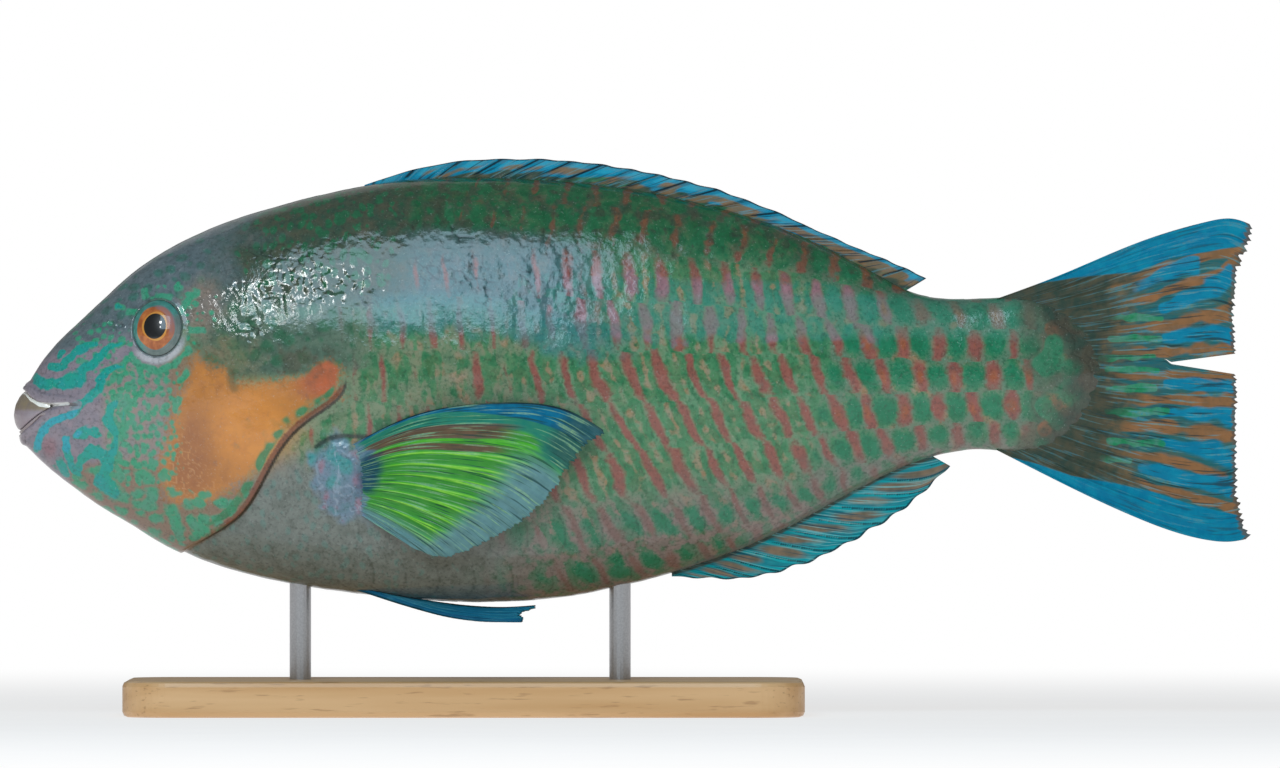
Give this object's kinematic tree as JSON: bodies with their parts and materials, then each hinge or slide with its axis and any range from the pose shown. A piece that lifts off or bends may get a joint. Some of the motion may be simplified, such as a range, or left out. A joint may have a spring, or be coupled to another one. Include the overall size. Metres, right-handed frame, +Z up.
{
  "type": "parrotfish model on a display stand",
  "caption": "Life-size adult male parrotfish, side-on swimming pose, with folded back fin, spread tail and side fins, held on a flat base by short rods.",
  "frame": {"origin": "on the floor under the middle of the fish's length, on its midline", "axes": "+Z up, +X from head to tail, so the fish faces -X, and its left side faces -Y"},
  "size_m": [0.348, 0.086, 0.1559],
  "materials": {
    "skin": "wet scaly skin",
    "blue_fin": "satin membrane",
    "teal_fin": "satin membrane",
    "green_fin": "satin membrane",
    "beak": "enamel",
    "eye": "wet and clear",
    "base_wood": "satin lacquer",
    "rod_steel": "brushed"
  },
  "bodies": {
    "root": {"head": "skin", "torso": "skin", "tail_stem": "skin", "beak_upper": "beak", "beak_lower": "beak", "eye_left": "eye", "eye_right": "eye", "dorsal_fin": "blue_fin", "anal_fin": "teal_fin", "tail_fin": "blue_fin", "pectoral_fin_left": "green_fin", "pectoral_fin_right": "green_fin", "pelvic_fin_left": "blue_fin", "pelvic_fin_right": "blue_fin", "stand_base": "base_wood", "stand_rod_front": "rod_steel", "stand_rod_rear": "rod_steel"}
  },
  "joints": []
}
